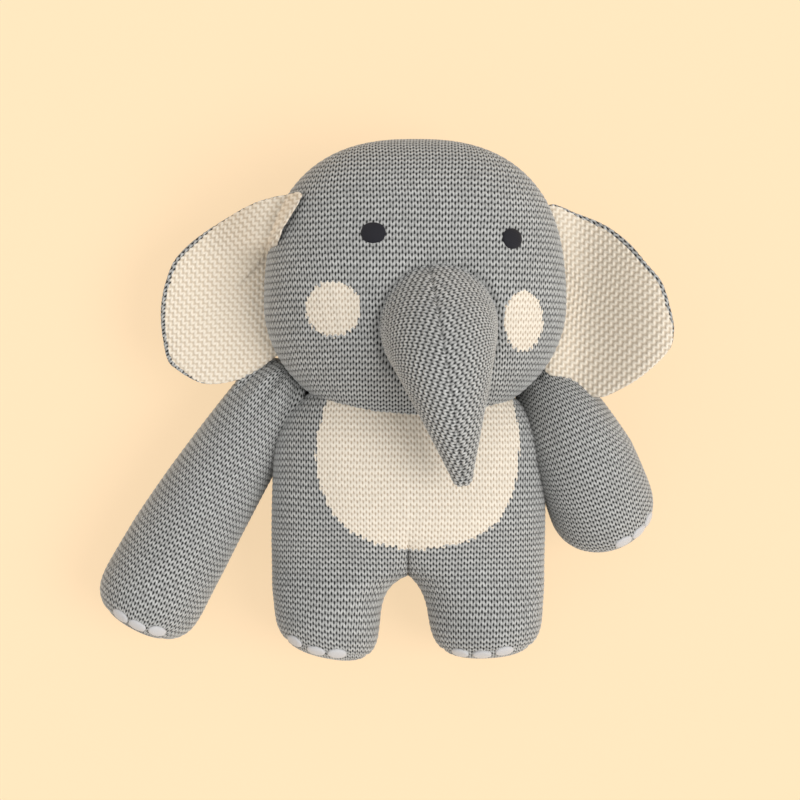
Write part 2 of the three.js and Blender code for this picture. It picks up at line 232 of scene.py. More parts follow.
class Nodes:
    """A material's node tree, written as calls."""

    def __init__(self, name, roughness, sheen):
        self.material = bpy.data.materials.new(name)
        self.material.use_nodes = True
        self.tree = self.material.node_tree
        self.shader = self.tree.nodes["Principled BSDF"]
        self.shader.inputs["Roughness"].default_value = roughness
        self.shader.inputs["Sheen Weight"].default_value = sheen
        self.shader.inputs["Sheen Roughness"].default_value = 0.5
        self.shader.inputs["Specular IOR Level"].default_value = 0.2

    def node(self, kind, **settings):
        made = self.tree.nodes.new(kind)
        for key, value in settings.items():
            setattr(made, key, value)
        return made

    def link(self, source, target):
        self.tree.links.new(source, target)

    def math(self, operation, a, b=None, c=None):
        made = self.node("ShaderNodeMath", operation=operation)
        for socket, value in zip(made.inputs, (a, b, c)):
            if value is None:
                continue
            if isinstance(value, (int, float)):
                socket.default_value = value
            else:
                self.link(value, socket)
        return made.outputs[0]

    def mix(self, factor, low, high):
        made = self.node("ShaderNodeMix", data_type="RGBA")
        for socket, value in ((made.inputs[0], factor), (made.inputs[6], low), (made.inputs[7], high)):
            if isinstance(value, tuple):
                socket.default_value = (*value, 1.0)
            elif isinstance(value, (int, float)):
                socket.default_value = value
            else:
                self.link(value, socket)
        return made.outputs[2]

    def noise(self, vector, scale, detail=2.0):
        made = self.node("ShaderNodeTexNoise")
        made.inputs["Scale"].default_value = scale
        made.inputs["Detail"].default_value = detail
        self.link(vector, made.inputs["Vector"])
        return made.outputs[0]


def knit_material(name, yarn, pale_yarn_and_highlight, hole_shade, hole_shade_start, hole_shade_end, closed=CLOSED):
    """Cotton yarn: pale tops with a painted highlight on each loop, painted shade in the holes, fine
    plies and soft uneven dyeing.
    """
    n = Nodes(name, roughness=0.92, sheen=0.12)
    knit = n.node("ShaderNodeUVMap", uv_map="knit").outputs[0]
    split = n.node("ShaderNodeSeparateXYZ")
    n.link(knit, split.inputs[0])
    s, t = split.outputs[0], split.outputs[1]
    full_turn = 2.0 * math.pi
    swing = n.math("SINE", n.math("MULTIPLY", s, full_turn))
    row = n.math("MULTIPLY_ADD", swing, YARN_WAVE, t)
    leaning = n.math("MULTIPLY_ADD", n.math("SINE", n.math("MULTIPLY", row, full_turn)), SLANT, s)
    slit = n.math("ABSOLUTE", n.math("SINE", n.math("MULTIPLY", leaning, full_turn)))
    slit = n.math("POWER", slit, 3.0)
    ridge = n.math("ABSOLUTE", n.math("COSINE", n.math("MULTIPLY", row, math.pi)))
    trough = n.math("SUBTRACT", 1.0, n.math("POWER", ridge, 2.8))
    depth = n.math("MULTIPLY", trough, n.math("MULTIPLY_ADD", slit, 1.0 - closed, closed))

    # every half stitch takes its own shade
    cell = n.node("ShaderNodeCombineXYZ")
    n.link(n.math("FLOOR", n.math("MULTIPLY", s, 2.0)), cell.inputs[0])
    n.link(n.math("ROUND", row), cell.inputs[1])
    own = n.node("ShaderNodeTexWhiteNoise", noise_dimensions="2D")
    n.link(cell.outputs[0], own.inputs["Vector"])
    own = own.outputs["Value"]

    place = n.node("ShaderNodeTexCoord").outputs["Object"]
    fuzz = n.noise(place, 1100.0, 3.0)
    blotch = n.noise(place, 28.0, 2.0)
    plies = n.math("SINE", n.math("ADD", n.math("MULTIPLY", s, 9.0 * math.pi),
                                  n.math("MULTIPLY", row, 6.0 * math.pi)))

    # painted highlight: the tops of the loops between the holes are made paler, as if light caught
    # them
    painted_loop_highlight = n.math("MULTIPLY", n.math("SUBTRACT", 1.0, slit), n.math("MULTIPLY", ridge, 0.55))
    tone_and_highlight = n.math("ADD", n.math("MULTIPLY_ADD", fuzz, 0.9, -0.42),
                   n.math("MULTIPLY_ADD", own, 0.35, painted_loop_highlight))
    yarn_tone_and_highlight = n.mix(tone_and_highlight, yarn, pale_yarn_and_highlight)
    uneven = n.mix(n.math("MULTIPLY", blotch, 0.35), yarn_tone_and_highlight, yarn)
    # painted shade: deep in the holes the colour turns to the dark hole colour
    in_hole_shade = n.node("ShaderNodeMapRange", interpolation_type="SMOOTHSTEP")
    in_hole_shade.inputs["From Min"].default_value = hole_shade_start
    in_hole_shade.inputs["From Max"].default_value = hole_shade_end
    n.link(n.math("ADD", depth, n.math("MULTIPLY_ADD", own, 0.16, -0.08)), in_hole_shade.inputs["Value"])
    n.link(n.mix(in_hole_shade.outputs[0], uneven, hole_shade), n.shader.inputs["Base Color"])

    bump = n.node("ShaderNodeBump")
    bump.inputs["Strength"].default_value = 0.35
    bump.inputs["Distance"].default_value = 0.0004
    relief = n.math("ADD", n.math("MULTIPLY", plies, 0.3), n.math("MULTIPLY", fuzz, 0.9))
    n.link(relief, bump.inputs["Height"])
    n.link(bump.outputs[0], n.shader.inputs["Normal"])
    return n.material


def thread_material(name, thread, gap, angle, sheen, roughness):
    """Satin stitching: close parallel threads laid side by side, with painted shade in the grooves
    between them.
    """
    n = Nodes(name, roughness=roughness, sheen=sheen)
    place = n.node("ShaderNodeTexCoord").outputs["Object"]
    turn = n.node("ShaderNodeMapping")
    turn.inputs["Rotation"].default_value = (0.0, 0.0, angle)
    n.link(place, turn.inputs["Vector"])
    split = n.node("ShaderNodeSeparateXYZ")
    n.link(turn.outputs[0], split.inputs[0])
    fuzz = n.noise(place, 1400.0, 2.0)
    wander = n.math("MULTIPLY", fuzz, 0.9)
    lines = n.math("SINE", n.math("ADD", n.math("MULTIPLY", split.outputs[0], 9000.0), wander))
    crest = n.math("MULTIPLY_ADD", lines, 0.5, 0.5)
    # painted shade: the grooves between the threads take the darker gap colour
    n.link(n.mix(n.math("MULTIPLY", crest, 0.8), gap, thread), n.shader.inputs["Base Color"])
    bump = n.node("ShaderNodeBump")
    bump.inputs["Strength"].default_value = 0.5
    bump.inputs["Distance"].default_value = 0.0003
    n.link(n.math("ADD", crest, n.math("MULTIPLY", fuzz, 0.6)), bump.inputs["Height"])
    n.link(bump.outputs[0], n.shader.inputs["Normal"])
    return n.material


# each knit's colours: the yarn, the pale yarn that also carries the painted highlight, and the painted
# shade of its holes
GREY_KNIT = knit_material("grey_knit_yarn", (0.232, 0.235, 0.232), (0.68, 0.69, 0.683),
                          (0.020, 0.0207, 0.021), hole_shade_start=0.14, hole_shade_end=0.80)
CREAM_KNIT = knit_material("cream_knit_yarn", (0.72, 0.65, 0.55), (0.94, 0.87, 0.76),
                           (0.50, 0.40, 0.30), hole_shade_start=0.26, hole_shade_end=0.92)
EAR_KNIT = knit_material("cream_ear_yarn", (0.82, 0.735, 0.61), (0.94, 0.86, 0.74),
                         (0.65, 0.55, 0.43), hole_shade_start=0.28, hole_shade_end=1.05, closed=EAR_CLOSED)
TRUNK_KNIT = knit_material("grey_trunk_yarn", (0.232, 0.235, 0.232), (0.70, 0.71, 0.703),
                           (0.036, 0.0365, 0.037), hole_shade_start=0.20, hole_shade_end=0.92,
                           closed=TRUNK_CLOSED)
# each satin stitch's second colour is the painted shade in the grooves between its threads
EYE_THREAD = thread_material("navy_satin_stitch", (0.019, 0.0195, 0.028), (0.007, 0.007, 0.011),
                             angle=0.5, sheen=0.1, roughness=0.6)
NAIL_THREAD = thread_material("pale_satin_stitch", (0.72, 0.72, 0.73), (0.50, 0.50, 0.52),
                              angle=1.1, sheen=0.2, roughness=0.5)

# ---------------------------------------------------------------- trunk's line

TRUNK_LEAN = math.radians(62.0)     # slant of the trunk's rows, mirrored at its middle seam
trunk_low, _ = node_box("trunk_left", "trunk_right")
TRUNK_ROOT = joint_place("trunk_lift") + np.array([-4.0, 4.5, 0.0])
TRUNK_BEND = TRUNK_ROOT + np.array([4.0, -25.0, 60.0])
TRUNK_TIP = np.array([34.0, trunk_low[1] + 7.0, 131.0])
TRUNK_RADII = (38.5, 38.0, 35.5, 31.5, 26.5, 20.5, 14.0, 7.0)
TRUNK_CELL = 0.75
TRUNK_SEAM_DENT = 1.6


def trunk_clearance(points):
    """Distance from each point to the trunk's surface, less than nothing inside it."""
    along = np.linspace(0.0, 0.5, 26)
    centre, _ = bezier(TRUNK_ROOT, TRUNK_BEND, TRUNK_TIP, along)
    radius = np.interp(along, np.linspace(0, 1, len(TRUNK_RADII)), TRUNK_RADII)
    nearest = np.full(points.shape[:-1], 1e3)
    for place, reach in zip(centre, radius):
        nearest = np.minimum(nearest, np.linalg.norm(points - place, axis=-1) - reach)
    return nearest


# ---------------------------------------------------------------- head

head_low, head_high = node_box("head_front", "head_back")
HEAD_WIDEST = joint_place("trunk_lift")[1] + 15.0      # height up the head of its widest place
CHIN_DROP = 6.0         # the chin sinks this far into the chest
HEAD_SEAM_HEIGHT = 64.0     # height of the seam between the head's front and back
HEAD_POWER = 2.05       # how square the head is below
CROWN_POWER = 2.5       # and at its crown
TRUNK_FIT = 3.4         # depth and width of the dent that the trunk is sewn into
HEAD_POINTS = 330       # points along each side of a head panel's grid
HEAD_CENTRE = np.array([(head_low[0] + head_high[0]) / 2.0, HEAD_WIDEST, HEAD_SEAM_HEIGHT])
HEAD_HALF_WIDTH = (head_high[0] - head_low[0]) / 2.0
HEAD_UP = head_high[1] - HEAD_WIDEST - 2.5
HEAD_DOWN = HEAD_WIDEST - head_low[1] + CHIN_DROP
HEAD_FRONT = head_high[2] - HEAD_CENTRE[2]
HEAD_BACK = HEAD_CENTRE[2] + 4.0


def head_point(direction, seam_dent=1.3):
    """The head's surface in a unit direction from its centre."""
    x, y, z = direction[..., 0], direction[..., 1], direction[..., 2]
    power = HEAD_POWER + (CROWN_POWER - HEAD_POWER) * smoothstep(y, -0.25, 0.6)
    size = (np.abs(x) ** power + np.abs(y) ** power + np.abs(z) ** power) ** (-1.0 / power)
    high = np.where(y > 0.0, HEAD_UP, HEAD_DOWN)
    deep = np.where(z > 0.0, HEAD_FRONT, HEAD_BACK)
    local = np.stack([x * size * HEAD_HALF_WIDTH, y * size * high, z * size * deep], axis=-1)
    point = HEAD_CENTRE + local
    crease = np.exp(-(local[..., 2] / 2.6) ** 2)
    point = point - unit(local) * (seam_dent * crease)[..., None]
    point[..., 2] = soft_floor(point[..., 2])
    return point


def head_height(x, y):
    """How high the front of the head stands over places in its plan, or nothing beside it."""
    across = np.abs(x - HEAD_CENTRE[0]) / HEAD_HALF_WIDTH
    up = np.abs(y - HEAD_CENTRE[1]) / HEAD_UP
    inside = np.maximum(1.0 - across ** CROWN_POWER - up ** CROWN_POWER, 0.0)
    height = HEAD_CENTRE[2] + HEAD_FRONT * inside ** (1.0 / CROWN_POWER)
    return np.where(inside > 0.0, height, 0.0)


def disc_grid(count):
    """A square grid pressed into a unit disc, with nearly even cells."""
    line = np.linspace(-1.0, 1.0, count)
    u, v = np.meshgrid(line, -line)
    return u * np.sqrt(1.0 - v * v / 2.0), v * np.sqrt(1.0 - u * u / 2.0)


def row_arc(half_width, depth, x, z):
    """Length along a row from its middle, for an oval of these half sizes."""
    angle = np.linspace(0.0, math.pi, 721)
    ratio = depth / half_width
    steps = np.hypot(np.diff(np.sin(angle)), ratio * np.diff(np.cos(angle)))
    length = np.concatenate([[0.0], np.cumsum(steps)])
    here = np.arctan2(np.abs(x), z / ratio)
    return np.sign(x) * np.interp(here, angle, length)


def head_stitches(points, front):
    """Rows lie across the head at equal steps up its middle; stitches count out from there."""
    side = 1.0 if front else -1.0
    rise = np.linspace(-1.0, 1.0, 400)
    tilt = rise * math.pi / 2.0
    middle = np.stack([np.zeros_like(rise), np.sin(tilt), side * np.cos(tilt)], axis=-1)
    middle = head_point(middle, 0.0)
    length = arc_lengths(middle[None], 1)[0]
    y = points[..., 1]
    t = np.interp(y, middle[:, 1], length) / ROW
    local = points - HEAD_CENTRE
    above = local[..., 1] > 0
    share = np.abs(local[..., 1]) / np.where(above, HEAD_UP, HEAD_DOWN)
    power = np.where(above, CROWN_POWER, HEAD_POWER)
    waist = np.maximum(1.0 - share ** power, 1e-4) ** (1.0 / power)
    depth = HEAD_FRONT if front else HEAD_BACK
    s = row_arc(HEAD_HALF_WIDTH, depth, local[..., 0] / waist, side * local[..., 2] / waist)
    return s * waist * HEAD_HALF_WIDTH / STITCH, t


def face_place(x, y):
    """The place on the front of the head over a place across it and up it."""
    low, high = 0.0, 1.0
    reach = math.hypot(x - HEAD_CENTRE[0], y - HEAD_CENTRE[1])
    across, up = (x - HEAD_CENTRE[0]) / reach, (y - HEAD_CENTRE[1]) / reach
    for _ in range(40):
        middle = (low + high) / 2.0
        ahead = math.sqrt(1.0 - middle ** 2)
        place = head_point(unit(np.array([across * middle, up * middle, ahead])))
        if math.hypot(place[0] - HEAD_CENTRE[0], place[1] - HEAD_CENTRE[1]) < reach:
            low = middle
        else:
            high = middle
    return place


def whole_stitch(s, t):
    """The middle of the stitch that a point belongs to."""
    row = np.round(2.0 * (t + YARN_WAVE * np.sin(2.0 * np.pi * s))) / 2.0
    return (np.floor(s * 2.0) + 0.5) / 2.0, row


def head_panel(front):
    """The front or back of the head: its smooth surface, its relief, its s and t and its faces."""
    side = 1.0 if front else -1.0
    x, y = disc_grid(HEAD_POINTS)
    radius = np.minimum(np.hypot(x, y), 1.0)
    tilt = radius * math.pi / 2.0
    turn = np.arctan2(y, x)
    direction = np.stack([np.sin(tilt) * np.cos(turn), np.sin(tilt) * np.sin(turn),
                          side * np.cos(tilt)], axis=-1)
    points = head_point(direction)
    s, t = unevenness(points, *head_stitches(head_point(direction, 0.0), front))
    normals = facing(grid_normals(points), points - HEAD_CENTRE)
    if front:
        clear = trunk_clearance(points)
        points = points - normals * (TRUNK_FIT * np.exp(-(clear / TRUNK_FIT) ** 2))[..., None]
    rim = np.clip((1.0 - radius) * 50.0, 0.0, 1.0)
    shaped = knitted(points, normals, s, t, fade=0.4 + 0.6 * smoothstep(rim))
    faces = quads(HEAD_POINTS, HEAD_POINTS)
    return points, shaped, s, t, faces if front else faces[..., ::-1]


def cheek_cells(name, cell_x, cell_y):
    """Which cells of the front of the head belong to a cheek."""
    low, high = node_box(f"cheek_patch_{name}")
    place = (low + high) / 2.0
    half = (high - low) / 2.0
    return ((cell_x - place[0]) / half[0]) ** 2 + ((cell_y - place[1]) / half[1]) ** 2 < 1.0


def make_head():
    """The front panel with both cheeks knitted in, and the back panel."""
    points, shaped, s, t, faces = head_panel(front=True)
    stitch, row = whole_stitch(s, t)
    cell_x = (points[..., 0] + (stitch - s) * STITCH)[:-1, :-1]
    cell_y = (points[..., 1] + (row - t) * ROW)[:-1, :-1]
    plain = np.ones(cell_x.shape, bool)
    for name in ("right", "left"):
        oval = cheek_cells(name, cell_x, cell_y)
        plain &= ~oval
        build(f"cheek_{name}_knit", [(shaped, s, t, faces[oval])], CREAM_KNIT, "head",
              [f"cheek_patch_{name}"])
    front_cover = build("head_front_cover", [(shaped, s, t, faces[plain])], GREY_KNIT, "head",
                        ["head_front"])
    _, shaped, s, t, faces = head_panel(front=False)
    back_cover = build("head_back_cover", [(shaped, s, t, faces)], GREY_KNIT, "head",
                       ["head_back", "head_stuffing"])


# ---------------------------------------------------------------- torso and legs

_, torso_high = node_box("torso_front", "torso_back", "belly_patch")
TORSO_TOP = torso_high[1] + 6.0
TORSO_HALF_WIDTH = {"right": 92.7, "left": 93.0}
TORSO_SEAM = 46.0       # height of the torso's side seams
TORSO_FRONT = 54.0      # how far the belly stands above them
SHOULDER_LENGTH = 74.0  # length over which the torso rounds off to its top
LEG_SEAM = 37.0
LEG_MIDDLE = 46.0       # how far a leg's middle line is from the elephant's
CROTCH = -119.2
CLEFT = 42.0            # length over which the front dips into the crotch
LEG_END = -175.5
LEG_ROUND = 31.0        # length of the rounding at a leg's foot
LEG_POWER = 2.8         # how square the rounding is
LEG_SOLE = 7.0          # length of a leg's end that its sole covers
LEG_TOP_HEIGHT = 45.0
LEG_SPLIT = -104.0      # height at which the torso's covers end and the legs' begin
BAG_COLUMNS = 150       # points from the front middle round to the side seam
SEAM_DENT = 1.1         # depth of the seams down the sides and round the soles
BELLY_FOLD = (-98.0, CROTCH - 6.0)      # the middle is sewn in between these heights
# heights up the torso, and how far the belly patch reaches to either side at each
BELLY_Y = (-98.0, -97.0, -93.5, -90.0, -84.0, -78.0, -66.0, -52.0, -36.0, -20.0, -3.0, 12.0)
BELLY_REACH = {
    "left": (2.0, 16.0, 34.0, 43.5, 53.0, 59.5, 66.5, 71.0, 72.8, 73.0, 70.5, 67.0),
    "right": (2.0, 6.0, 21.0, 30.0, 40.0, 46.0, 53.5, 58.5, 60.5, 59.0, 54.0, 50.0),
}
# how far a leg's inner edge stands off the middle, over what length, where its outer edge is,
# how much it narrows to the ankle and how far its foot toes out
LEG_SHAPES = {"right": (20.0, 8.5, 92.8, 2.0, 0.20), "left": (16.0, 13.0, 96.0, 1.5, 0.05)}


def bag_half(side):
    """One side of the bag as a grid of rings, from its front middle round to its back middle."""
    sign = 1.0 if side == "left" else -1.0
    inner_reach, inner_fall, outer, ankle, shear = LEG_SHAPES[side]
    straight = np.arange(TORSO_TOP, LEG_END + LEG_ROUND, -CELL)
    swing = np.linspace(0.0, 1.0, 56)[1:] * math.pi / 2.0
    closing = LEG_END + LEG_ROUND - LEG_ROUND * np.sin(swing) ** (2.0 / LEG_POWER)
    shrink_end = np.cos(swing) ** (2.0 / LEG_POWER)
    y = np.concatenate([straight, closing])
    shrink = np.concatenate([np.ones(len(straight)), shrink_end])

    below = np.maximum(CROTCH - y, 0.0)
    inner = inner_reach * (1.0 - np.exp(-below / inner_fall))
    shoulder = np.clip((y - TORSO_TOP + SHOULDER_LENGTH) / SHOULDER_LENGTH, 0.0, 0.999)
    half_width = TORSO_HALF_WIDTH[side]
    width = half_width * (1.0 - shoulder ** 3.0) ** (1.0 / 3.0)
    hips = smoothstep(-y, 20.0, 110.0)
    width = np.minimum(width, half_width - 1.5 + (outer - half_width + 1.5) * hips)
    width = width - ankle * smoothstep(-y, 122.0, 155.0)
    middle = (inner + width) / 2.0
    inner = middle + (inner - middle) * shrink
    width = middle + (width - middle) * shrink

    toward_legs = smoothstep(-y, 70.0, 125.0)
    seam = TORSO_SEAM + (LEG_SEAM - TORSO_SEAM) * toward_legs
    front = TORSO_FRONT + (LEG_TOP_HEIGHT - TORSO_FRONT) * toward_legs
    front = front * (1.0 - 0.16 * smoothstep(y, -30.0, TORSO_TOP)) * shrink
    back = (seam + 3.0) * shrink
    rise = np.clip((y - CROTCH) / CLEFT, 0.0, 1.0)
    cleft = 1.0 - (1.0 - (1.0 - rise) ** 2.2) ** (1.0 / 2.2)
    cleft = np.where(y < CROTCH, 1.0, cleft)

    swing = np.linspace(0.0, math.pi, 241)
    share = (1.0 - np.cos(swing)) / 2.0
    dome_outer = (1.0 - share ** 2.5) ** (1.0 / 2.5)
    spread = 0.45 + 0.5 * smoothstep(CROTCH - y, 0.0, 45.0)
    inward = np.minimum(share[None] / spread[:, None], 1.0)
    dome_inner = (1.0 - (1.0 - inward) ** 2.3) ** (1.0 / 2.3)
    rings = []
    for face, height in ((1.0, front), (-1.0, back)):
        profile = dome_outer[None] * (1.0 - cleft[:, None] * (1.0 - dome_inner))
        x = sign * (inner[:, None] + (width - inner)[:, None] * share[None])
        z = seam[:, None] + face * height[:, None] * profile
        across = (np.abs(x) - middle[:, None])
        bend = shear * smoothstep(-y, 118.0, 168.0)[:, None] * across
        place = np.stack([x, np.broadcast_to(y[:, None], x.shape) + bend, z], axis=-1)
        place[..., 2] = soft_floor(place[..., 2], 2.5)
        rings.append(place)
    front_part = resample(rings[0], BAG_COLUMNS)
    back_part = resample(rings[1][:, ::-1], BAG_COLUMNS)
    points = np.concatenate([front_part, back_part[:, 1:]], axis=1)
    return points, y, seam + front


def panel_lengths(points, across):
    """Lengths along the rows of the front and back panels, counted from a leg's middle line."""
    counted = np.empty(across.shape)
    for i, row in enumerate(np.abs(points[..., 0])):
        front = across[i, :BAG_COLUMNS]
        back = across[i, -1] - across[i, BAG_COLUMNS - 1:][::-1]
        counted[i, :BAG_COLUMNS] = front - np.interp(LEG_MIDDLE, row[:BAG_COLUMNS], front)
        back = back - np.interp(LEG_MIDDLE, row[BAG_COLUMNS - 1:][::-1], back)
        counted[i, BAG_COLUMNS:] = back[::-1][1:]
    return counted + LEG_MIDDLE


limb_surfaces = {}      # points and normals of each limb's cover, for the toenails to lie on


def share_middle(halves, above):
    """The two sides of the bag given one value where they meet along the middle."""
    for column in (0, -1):
        shared = (halves["left"][:, column] + halves["right"][:, column]) / 2.0
        for side in halves:
            halves[side][above, column] = shared[above]


def bag_relief(side, points, normals, y, down):
    """One side of the bag with its seams and its knitting raised, and its s and t."""
    across = arc_lengths(points, 1)
    sign = 1.0 if side == "left" else -1.0
    s = sign * panel_lengths(points, across) / STITCH
    s, t = unevenness(points, s, np.broadcast_to(down[:, None] / ROW, s.shape))
    from_seam = np.abs(np.arange(points.shape[1]) - BAG_COLUMNS + 1) * CELL
    gap = np.minimum(from_seam / 3.0, 1.0)
    crease = np.exp(-(gap * 3.0 / 2.0) ** 2)
    body = points - normals * (SEAM_DENT * crease)[None, :, None]
    below_patch = (y < BELLY_FOLD[0]) & (y > BELLY_FOLD[1])
    sunk = np.exp(-(across / 1.6) ** 2) * below_patch[:, None]
    body = body - normals * sunk[..., None]
    sole_rim = np.interp(-LEG_END - LEG_SOLE, -y, down)
    dent = np.exp(-((down - sole_rim) / 1.5) ** 2)[:, None]
    body = body - normals * (SEAM_DENT * dent)[..., None]
    fade = (0.35 + 0.65 * gap)[None] * (1.0 - 0.6 * dent)
    return knitted(body, normals, s, t, fade=fade), s, t


def build_leg(side, knit, cells, sole_cells):
    """A leg's cover and its sole from one side of the bag."""
    leg = build(f"leg_{side}_cover", [(*knit, cells)], GREY_KNIT, None,
                [f"leg_{side}_sleeve", f"leg_{side}_stuffing"])
    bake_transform(leg)
    sole = build(f"leg_{side}_sole_knit", [(*knit, sole_cells)], GREY_KNIT, f"leg_{side}",
                 [f"leg_{side}_sole"])


def make_bag():
    """The torso and both legs, which are knitted in one."""
    left, y, crest = bag_half("left")
    sides = {"left": left, "right": bag_half("right")[0]}
    rows, width = left.shape[:2]
    above = y > CROTCH
    normals = {"left": -grid_normals(sides["left"]), "right": grid_normals(sides["right"])}
    for column in (0, -1):
        shared = unit(normals["left"][:, column] + normals["right"][:, column])
        for side in normals:
            normals[side][above, column] = shared[above]
    down = np.concatenate([[0.0], np.cumsum(np.hypot(np.diff(y), np.diff(crest)))])
    relief = {side: bag_relief(side, sides[side], normals[side], y, down) for side in sides}
    share_middle({side: shaped for side, (shaped, _, _) in relief.items()}, above)

    cells = quads(rows, width)
    cell_rows = y[:-1, None]
    is_front = np.broadcast_to(np.arange(width - 1) < BAG_COLUMNS - 1, cells.shape[:2])
    is_torso = np.broadcast_to(cell_rows >= LEG_SPLIT, cells.shape[:2])
    is_sole = ~is_torso & (cell_rows < LEG_END + LEG_SOLE)
    front_parts, back_parts, patch_parts = [], [], []
    for side, points in sides.items():
        knit = relief[side]
        _, s, t = knit
        faces = cells if side == "left" else cells[..., ::-1]
        stitch, row = whole_stitch(s, t)
        cell_x = (points[..., 0] + (stitch - s) * STITCH)[:-1, :-1]
        cell_y = (points[..., 1] - (row - t) * ROW)[:-1, :-1]
        edge = np.interp(cell_y, BELLY_Y, BELLY_REACH[side])
        is_patch = (np.abs(cell_x) < edge) & (cell_y > BELLY_Y[0]) & is_front & is_torso
        patch_parts.append((*knit, faces[is_patch]))
        front_parts.append((*knit, faces[is_torso & is_front & ~is_patch]))
        back_parts.append((*knit, faces[is_torso & ~is_front]))
        build_leg(side, knit, faces[~is_torso & ~is_sole], faces[is_sole])
        limb_surfaces[f"leg_{side}"] = (points, normals[side])
    front = build("torso_front_cover", front_parts, GREY_KNIT, "torso",
                  ["torso_front"])
    back = build("torso_back_cover", back_parts, GREY_KNIT, "torso",
                 ["torso_back", "torso_stuffing"])
    build("belly_knit", patch_parts, CREAM_KNIT, "torso", ["belly_patch"])


# ---------------------------------------------------------------- sleeves

def tube(root, bend, tip, radii, root_cap, end_depth, end_power, cell=CELL):
    """A closed sleeve as rings round a bent centre line, with their angles, radii and centres."""
    reach = np.linalg.norm(tip - root) * 1.06
    count = int(reach / cell)
    along = np.linspace(0.0, 1.0, count)
    radius = np.interp(along, np.linspace(0, 1, len(radii)), radii)
    cap = np.linspace(0.0, 1.0, int(1.2 * root_cap / cell))[:-1] * math.pi / 2.0
    end_swing = np.linspace(0.0, 1.0, int(1.6 * end_depth / cell))[1:] * math.pi / 2.0
    offsets = np.concatenate([-root_cap * np.cos(cap), np.zeros(count),
                              end_depth * np.sin(end_swing) ** (2.0 / end_power)])
    scale = np.concatenate([radius[0] * np.sin(cap), radius,
                            radius[-1] * np.cos(end_swing) ** (2.0 / end_power)])
    along = np.concatenate([np.zeros(len(cap)), along, np.ones(len(end_swing))])
    centre, ahead = bezier(root, bend, tip, along)
    centre = centre + ahead * offsets[:, None]
    across = unit(np.cross(np.array([0.0, 0.0, 1.0]), ahead))
    up = np.cross(ahead, across)
    columns = int(2.0 * math.pi * max(radii) / cell)
    angle = np.linspace(-math.pi, math.pi, columns)
    ring = (np.cos(angle)[None, :, None] * up[:, None]
            + np.sin(angle)[None, :, None] * across[:, None])
    points = centre[:, None] + ring * scale[:, None, None]
    points[..., 2] = soft_floor(points[..., 2], 2.5)
    return points, angle, scale, centre


def tube_stitches(points, angle, scale):
    """Rows are rings; every ring has the same count of stitches until it closes up."""
    down = arc_lengths(points, 0)[:, points.shape[1] // 2]
    stitches = round(2.0 * math.pi * np.max(scale) / STITCH)
    s = np.broadcast_to(angle[None] / (2.0 * math.pi) * stitches, points.shape[:2])
    t = np.broadcast_to(down[:, None] / ROW, points.shape[:2])
    return s, t


# where an arm's line bends, how far its foot lies off the CAD one, its radii and its rounding
ARMS = {
    "right": dict(bend=(-139.0, -66.0, 41.0), shift=(-6.5, 3.5, 0.0),
                  radii=(26.5, 29.5, 32.5, 35.0, 36.2), root_cap=29.0, end_depth=31.0,
                  end_power=3.0),
    "left": dict(bend=(112.5, -25.5, 76.0), shift=(2.0, 0.0, 0.0),
                 radii=(22.0, 28.5, 34.0, 35.5), root_cap=22.0, end_depth=29.0,
                 end_power=2.7),
}
ARM_SOLE = 25.0         # length of an arm's end that its sole covers
GATHER = 2.3            # height of the folds where an arm is gathered to the shoulder


def make_arm(side):
    """A sleeve gathered to the shoulder, and the sole that closes it."""
    spec = ARMS[side]
    root = joint_place(f"shoulder_{side}_lift")
    low, high = node_box(f"arm_{side}_sole")
    sole = (low + high) / 2.0 + np.array(spec["shift"])
    bend = np.array(spec["bend"])
    heading = unit(sole - bend)
    tip = sole - heading * (spec["end_depth"] - 2.0)
    points, angle, scale, centre = tube(root, bend, tip, spec["radii"], spec["root_cap"],
                                        spec["end_depth"], spec["end_power"])
    s, t = tube_stitches(points, angle, scale)
    down = t * ROW
    s, t = unevenness(points, s, t)
    normals = facing(grid_normals(points, wrap=True), points - centre[:, None])
    folds = (0.8 * np.sin(angle * 9.0 + 0.6 * np.sin(angle * 2.0))
             + 0.4 * np.sin(angle * 17.0 + 1.0))
    gather = np.exp(-((down - spec["root_cap"] - 4.0) / 17.0) ** 2)
    points = points + normals * (GATHER * folds[None] * gather)[..., None]
    from_end = down[-1, 0] - down
    seam = np.exp(-((from_end - ARM_SOLE) / 1.5) ** 2)
    points = points - normals * seam[..., None]
    fade = (1.0 - 0.6 * seam) * np.clip(scale[:, None] / 6.0, 0.0, 1.0)
    shaped = knitted(points, normals, s, t, fade=fade)
    shaped[:, -1] = shaped[:, 0]
    faces = quads(*points.shape[:2])[..., ::-1]
    is_sole = from_end[:-1, 0] < ARM_SOLE
    cover = build(f"arm_{side}_cover", [(shaped, s, t, faces[~is_sole])], GREY_KNIT, None,
                  [f"arm_{side}_sleeve", f"arm_{side}_stuffing"])
    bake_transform(cover)
    sole = build(f"arm_{side}_sole_knit", [(shaped, s, t, faces[is_sole])], GREY_KNIT,
                 f"arm_{side}", [f"arm_{side}_sole"])
    limb_surfaces[f"arm_{side}"] = (points, normals)


# ---------------------------------------------------------------- trunk

